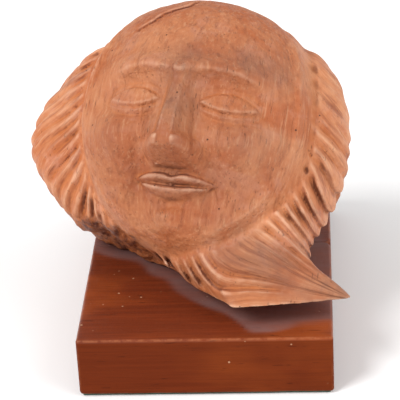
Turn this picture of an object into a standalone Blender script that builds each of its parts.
"""A carved wooden bearded head on a plinth of two boards, held by two screws from below.

Metres, +Z up. The origin is at the middle of the felt's underside and the face looks towards -Y and up.
"""

import math

import bmesh
import bpy
from mathutils import Matrix, Vector

MM = 0.001
GAP = 0.3 * MM  # between pieces that touch

# Plinth: two boards glued edge to edge, with the joint running from side to side
PLINTH_WIDTH = 203.2 * MM
BOARD_DEPTH = 152.4 * MM
PLINTH_HEIGHT = 50.8 * MM
EDGE_ROUNDING = 1.6 * MM
FELT_THICKNESS = 1.5 * MM
FELT_INSET = 2.5 * MM
PLINTH_BOTTOM = FELT_THICKNESS + GAP
PLINTH_TOP = PLINTH_BOTTOM + PLINTH_HEIGHT

# Dowels across the joint between the boards
DOWEL_RADIUS = 5 * MM
DOWEL_LENGTH = 40 * MM
DOWEL_SPACING = 130 * MM

# Screws that go up through the rear board into the carving
SCREW_CENTRE = Vector((-10 * MM, 26 * MM))
SCREW_SPACING = 60 * MM
SCREW_LENGTH = 63 * MM
SHANK_RADIUS = 2.75 * MM
SCREW_HEAD_RADIUS = 5.5 * MM
SCREW_HEAD_HEIGHT = 3.6 * MM
SLOT_WIDTH = 1.4 * MM
SLOT_DEPTH = 1.5 * MM
WASHER_RADIUS = 8.5 * MM
WASHER_THICKNESS = 1.5 * MM
COUNTERBORE_RADIUS = 10 * MM
COUNTERBORE_DEPTH = 14 * MM

# The carving's own frame: u to the viewer's right, v up the face, w straight out of the face
HEAD_CENTRE = Vector((-11, -20, 166.5)) * MM
HEAD_TURN = math.radians(15)  # towards -X
FACE_ELEVATION = math.radians(45)
HEAD_LEAN = math.radians(2)
MASS_VOXEL = 4 * MM
FINE_VOXEL = 2.6 * MM
HEAD_DETAIL = 0.11  # share of the triangles that is kept

# Rounded masses of the carving: (centre, radii) in the face's frame, in millimetres
MASSES = [
    ((0, 10, -22), (104, 104, 91)),  # skull
    ((-86, -6, -34), (63, 70, 46)),  # hair on the left
    ((-64, 34, -20), (54, 48, 50)),  # hair on the upper left
    ((71, 3, -38), (53, 90, 56)),  # hair on the right
    ((0, -48, -10), (78, 50, 50)),  # root of the beard
    ((38, -80, -10), (62, 40, 36)),  # beard below the chin
    ((54, -52, -20), (54, 50, 46)),  # beard on the right
    ((-14, -18, -70), (90, 75, 58)),  # burl under the head
    ((-70, -34, -74), (48, 42, 36)),  # burl on the left
    ((8, 0, -8), (86, 106, 84)),  # face
]
# Features of the face: u is from the middle of the face, and each is made on both sides where u isn't 0
FACE_MIDDLE = 8
FEATURES = [
    ((31, 31, 54), (27, 9, 14)),  # brow
    ((38, 4, 54), (22, 12, 14)),  # closed lid
    ((15, -35, 62), (9, 9, 14)),  # nostril
    ((0, -64, 46), (32, 7, 16)),  # upper lip
    ((0, -76, 42), (28, 8, 16)),  # lower lip
    ((0, -93, 14), (30, 16, 18)),  # chin
]
# Corners of the nose: (half width, v, w)
NOSE = [(11, 40, 62), (4, 36, 78), (20, -40, 62), (6, -38, 96)]

# Beard: a wedge swept to one side, in world millimetres
BEARD_LEFT = (-43, -18, 53)
BEARD_CORNER = (22.8, -142.6, 74)
BEARD_TIP = (120, -133.4, 75)
BEARD_NOTCH = (82.6, -76, 77)
BEARD_ROOT = [(-42, -52, 132), (64, -70, 134), (52, -10, 84), (-34, 0, 84)]
SEAT_FRONT = Vector((0, -14 * MM, PLINTH_TOP + GAP))  # where the beard's underside starts to rise

BIG = 400 * MM  # cutters reach this far past the work


def clear_scene():
    for thing in list(bpy.data.objects):
        bpy.data.objects.remove(thing)


def material(name, colour, roughness, metallic=0.0):
    made = bpy.data.materials.new(name)
    made.use_nodes = True
    shader = made.node_tree.nodes["Principled BSDF"]
    shader.inputs["Base Color"].default_value = (*colour, 1)
    shader.inputs["Roughness"].default_value = roughness
    shader.inputs["Metallic"].default_value = metallic
    return made


def add_object(name, mesh_maker, finish=None):
    """An object whose mesh is whatever mesh_maker builds in a new bmesh."""
    mesh = bpy.data.meshes.new(name)
    work = bmesh.new()
    mesh_maker(work)
    bmesh.ops.recalc_face_normals(work, faces=work.faces)
    work.to_mesh(mesh)
    work.free()
    made = bpy.data.objects.new(name, mesh)
    bpy.context.scene.collection.objects.link(made)
    if finish:
        mesh.materials.append(finish)
    return made


def smooth(thing, angle=math.radians(35)):
    thing.data.shade_smooth()
    thing.data.set_sharp_from_angle(angle=angle)


def as_cutter(thing):
    thing.hide_render = True
    thing.display_type = "WIRE"
    return thing


def cut(thing, cutter):
    boolean = thing.modifiers.new("cut_" + cutter.name, "BOOLEAN")
    boolean.operation = "DIFFERENCE"
    boolean.solver = "EXACT"
    boolean.object = cutter


def box_maker(low, high):
    size = Vector(high) - Vector(low)
    place = Matrix.Translation((Vector(low) + Vector(high)) / 2) @ Matrix.Diagonal((*size, 1))
    return lambda work: bmesh.ops.create_cube(work, size=1, matrix=place)


def rod_maker(radius, start, end, segments=32):
    """A cylinder between two points."""
    start, end = Vector(start), Vector(end)
    turn = (end - start).to_track_quat("Z", "Y").to_matrix().to_4x4()
    place = Matrix.Translation((start + end) / 2) @ turn
    length = (end - start).length

    def make(work):
        bmesh.ops.create_cone(
            work, cap_ends=True, segments=segments, radius1=radius, radius2=radius, depth=length, matrix=place
        )

    return make


def turned_maker(profile, centre, segments=32):
    """A solid turned round a vertical axis from (radius, height) points that start and end on the axis."""

    def make(work):
        spine = [work.verts.new((centre[0] + r, centre[1], z)) for r, z in profile]
        edges = [work.edges.new(pair) for pair in zip(spine, spine[1:])]
        bmesh.ops.spin(
            work,
            geom=spine + edges,
            cent=(centre[0], centre[1], 0),
            axis=(0, 0, 1),
            angle=2 * math.pi,
            steps=segments,
            use_merge=True,
        )
        bmesh.ops.remove_doubles(work, verts=work.verts, dist=0.01 * MM)

    return make


def slab_maker(point, outward):
    """A large block whose near face passes through point, on the side that outward points to."""
    turn = Vector(outward).to_track_quat("Z", "Y").to_matrix().to_4x4()
    place = Matrix.Translation(point) @ turn @ Matrix.Translation((0, 0, BIG / 2))
    return lambda work: bmesh.ops.create_cube(work, size=BIG, matrix=place)


def face_frame():
    """The matrix from the face's frame to the world."""
    w = Vector(
        (
            -math.sin(HEAD_TURN) * math.cos(FACE_ELEVATION),
            -math.cos(HEAD_TURN) * math.cos(FACE_ELEVATION),
            math.sin(FACE_ELEVATION),
        )
    )
    u = Vector((math.cos(HEAD_TURN), -math.sin(HEAD_TURN), 0))
    axes = Matrix((u, w.cross(u), w)).transposed()
    lean = Matrix.Rotation(HEAD_LEAN, 3, "Z")
    return Matrix.Translation(HEAD_CENTRE) @ (axes @ lean).to_4x4()


def screw_places():
    return {
        "left": SCREW_CENTRE - Vector((SCREW_SPACING / 2, 0)),
        "right": SCREW_CENTRE + Vector((SCREW_SPACING / 2, 0)),
    }


def add_ellipsoid(work, frame, centre, radii):
    place = frame @ Matrix.Translation(Vector(centre) * MM) @ Matrix.Diagonal((*(Vector(radii) * MM), 1))
    bmesh.ops.create_uvsphere(work, u_segments=40, v_segments=24, radius=1, matrix=place)


def add_hull(work, points):
    bmesh.ops.convex_hull(work, input=[work.verts.new(point) for point in points])


def fuse(thing, name, voxel, rounds):
    """Makes one skin of the shapes that overlap in a mesh, and softens the valleys between them."""
    remesh = thing.modifiers.new("fuse_" + name, "REMESH")
    remesh.mode = "VOXEL"
    remesh.voxel_size = voxel
    remesh.use_smooth_shade = True
    soften = thing.modifiers.new("soften_" + name, "SMOOTH")
    soften.factor = 0.5
    soften.iterations = rounds


def make_carving(wood):
    """The head, its hair and its beard: one piece of wood with a flat seat and two pilot holes."""
    frame = face_frame()

    def masses(work):
        for centre, radii in MASSES:
            add_ellipsoid(work, frame, centre, radii)

    def features(work):
        for (u, v, w), radii in FEATURES:
            for side in (-1, 1) if u else (1,):
                add_ellipsoid(work, frame, (FACE_MIDDLE + side * u, v, w), radii)
        nose = [(FACE_MIDDLE + side * u, v, w) for u, v, w in NOSE for side in (-1, 1)]
        add_hull(work, [frame @ (Vector(corner) * MM) for corner in nose])
        corners = [BEARD_LEFT, BEARD_CORNER, BEARD_TIP, BEARD_NOTCH, *BEARD_ROOT]
        add_hull(work, [Vector(point) * MM for point in corners])

    rough = as_cutter(add_object("guide_masses", masses))
    fuse(rough, "masses", MASS_VOXEL, rounds=16)
    blended = rough.evaluated_get(bpy.context.evaluated_depsgraph_get()).to_mesh()

    def whole(work):
        work.from_mesh(blended)
        features(work)

    carving = add_object("head_carving", whole, wood)
    fuse(carving, "all", FINE_VOXEL, rounds=3)
    reduce = carving.modifiers.new("reduce", "DECIMATE")
    reduce.ratio = HEAD_DETAIL

    corner, tip = Vector(BEARD_CORNER) * MM, Vector(BEARD_TIP) * MM
    down = (corner - SEAT_FRONT).cross(tip - SEAT_FRONT)
    cutters = [
        add_object("cutter_beard_underside", slab_maker(SEAT_FRONT, down if down.z < 0 else -down)),
        add_object("cutter_seat", slab_maker((0, 0, PLINTH_TOP + GAP), (0, 0, -1))),
    ]
    for side, place in screw_places().items():
        top = PLINTH_BOTTOM + COUNTERBORE_DEPTH + SCREW_LENGTH + GAP
        hole = rod_maker(SHANK_RADIUS + GAP, (*place, PLINTH_TOP - 10 * MM), (*place, top), segments=24)
        cutters.append(add_object(f"cutter_pilot_{side}", hole))
    for cutter in cutters:
        cut(carving, as_cutter(cutter))


def make_plinth(stained_wood, dowel_wood):
    """The two boards, rounded along their edges, and the dowels that bridge the joint."""
    half = PLINTH_WIDTH / 2
    spans = {
        "plinth_front_board": (-BOARD_DEPTH, -GAP / 2),
        "plinth_rear_board": (GAP / 2, BOARD_DEPTH),
    }
    boards = {}
    for name, (near, far) in spans.items():
        board = add_object(
            name, box_maker((-half, near, PLINTH_BOTTOM), (half, far, PLINTH_TOP)), stained_wood
        )
        rounding = board.modifiers.new("worn_edges", "BEVEL")
        rounding.width = EDGE_ROUNDING
        rounding.segments = 3
        rounding.limit_method = "WEIGHT"
        round_outer_edges(board, joint=min(near, far, key=abs))
        boards[name] = board

    height = (PLINTH_BOTTOM + PLINTH_TOP) / 2
    for side, x in (("left", -DOWEL_SPACING / 2), ("right", DOWEL_SPACING / 2)):
        ends = [(x, -DOWEL_LENGTH / 2, height), (x, DOWEL_LENGTH / 2, height)]
        dowel = add_object(f"joint_dowel_{side}", rod_maker(DOWEL_RADIUS, *ends), dowel_wood)
        smooth(dowel)
        hole_ends = [(x, -DOWEL_LENGTH / 2 - GAP, height), (x, DOWEL_LENGTH / 2 + GAP, height)]
        socket = add_object(f"cutter_dowel_{side}", rod_maker(DOWEL_RADIUS + GAP, *hole_ends))
        as_cutter(socket)
        for board in boards.values():
            cut(board, socket)

    rear = boards["plinth_rear_board"]
    ceiling = PLINTH_BOTTOM + COUNTERBORE_DEPTH
    for side, place in screw_places().items():
        bore = add_object(
            f"cutter_counterbore_{side}",
            rod_maker(COUNTERBORE_RADIUS, (*place, -10 * MM), (*place, ceiling), segments=40),
        )
        clearance = add_object(
            f"cutter_clearance_{side}",
            rod_maker(SHANK_RADIUS + GAP, (*place, ceiling - 2 * MM), (*place, PLINTH_TOP + 10 * MM), segments=24),
        )
        cut(rear, as_cutter(bore))
        cut(rear, as_cutter(clearance))


def round_outer_edges(board, joint):
    """Marks every edge of the board for rounding, except those in the face at the joint."""
    mesh = board.data
    weights = mesh.attributes.new("bevel_weight_edge", "FLOAT", "EDGE")
    for edge in mesh.edges:
        ends = [mesh.vertices[index].co.y for index in edge.vertices]
        at_joint = all(abs(y - joint) < 0.01 * MM for y in ends)
        weights.data[edge.index].value = 0.0 if at_joint else 1.0


def make_felt(felt):
    """The sheet under the plinth, with a hole below each screw."""
    x = PLINTH_WIDTH / 2 - FELT_INSET
    y = BOARD_DEPTH - FELT_INSET
    sheet = add_object("base_felt", box_maker((-x, -y, 0), (x, y, FELT_THICKNESS)), felt)
    for side, place in screw_places().items():
        hole = add_object(
            f"cutter_felt_{side}",
            rod_maker(COUNTERBORE_RADIUS, (*place, -10 * MM), (*place, 10 * MM), segments=40),
        )
        cut(sheet, as_cutter(hole))


def make_screws(steel):
    """A slotted pan-head wood screw and a washer in each counterbore."""
    washer_top = PLINTH_BOTTOM + COUNTERBORE_DEPTH - GAP
    washer_bottom = washer_top - WASHER_THICKNESS
    head_top = washer_bottom - GAP
    head_bottom = head_top - SCREW_HEAD_HEIGHT
    tip = washer_top + SCREW_LENGTH
    cone = 9 * MM
    profile = [
        (0, head_bottom),
        (SCREW_HEAD_RADIUS * 0.7, head_bottom + 0.3 * MM),
        (SCREW_HEAD_RADIUS, head_bottom + SCREW_HEAD_HEIGHT * 0.5),
        (SCREW_HEAD_RADIUS, head_top),
        (SHANK_RADIUS, head_top),
        (SHANK_RADIUS, tip - cone),
        (0, tip),
    ]
    for side, place in screw_places().items():
        screw = add_object(f"mounting_screw_{side}", turned_maker(profile, place), steel)
        smooth(screw)
        low = (place.x - 10 * MM, place.y - SLOT_WIDTH / 2, head_bottom - 5 * MM)
        high = (place.x + 10 * MM, place.y + SLOT_WIDTH / 2, head_bottom + SLOT_DEPTH)
        cut(screw, as_cutter(add_object(f"cutter_slot_{side}", box_maker(low, high))))

        washer = add_object(
            f"screw_washer_{side}",
            rod_maker(WASHER_RADIUS, (*place, washer_bottom), (*place, washer_top)),
            steel,
        )
        smooth(washer)
        hole = rod_maker(SHANK_RADIUS + GAP, (*place, washer_bottom - MM), (*place, washer_top + MM), segments=24)
        cut(washer, as_cutter(add_object(f"cutter_washer_{side}", hole)))


clear_scene()
make_carving(material("carved_wood", (0.52, 0.24, 0.11), 0.55))
make_plinth(material("stained_wood", (0.20, 0.045, 0.02), 0.3), material("dowel_wood", (0.62, 0.45, 0.27), 0.7))
make_felt(material("green_felt", (0.03, 0.09, 0.05), 0.95))
make_screws(material("zinc_steel", (0.55, 0.53, 0.48), 0.35, metallic=1.0))
